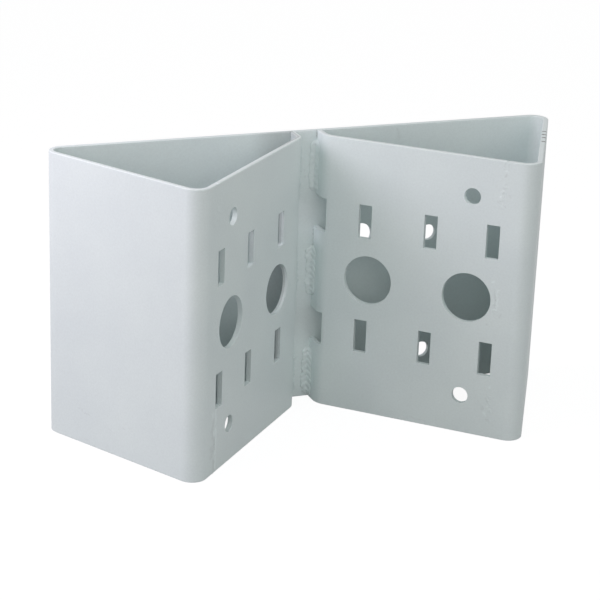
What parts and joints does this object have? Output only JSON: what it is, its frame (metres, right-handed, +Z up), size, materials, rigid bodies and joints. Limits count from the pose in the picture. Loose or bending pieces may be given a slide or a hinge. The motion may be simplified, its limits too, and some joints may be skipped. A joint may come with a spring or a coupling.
{
  "type": "camera corner mount bracket",
  "caption": "Welded steel bracket that fits over the outside corner of a building and holds a camera on a flat plate; slotted wall plates also take pole straps.",
  "frame": {"origin": "centre of the bounding box at the bottom edges of the walls, on the mirror plane of the bracket", "axes": "+X along the camera plate, +Y out of the camera plate away from the building, +Z up along the corner"},
  "size_m": [0.314, 0.1034, 0.17],
  "materials": {
    "powder_coat": "semi-gloss light grey powder coat"
  },
  "bodies": {
    "root": {"camera_plate_shell": "powder_coat", "left_wall_plate": "powder_coat", "right_wall_plate": "powder_coat", "left_seam_weld": "powder_coat", "right_seam_weld": "powder_coat", "left_channel_welds": "powder_coat", "right_channel_welds": "powder_coat"}
  },
  "joints": []
}
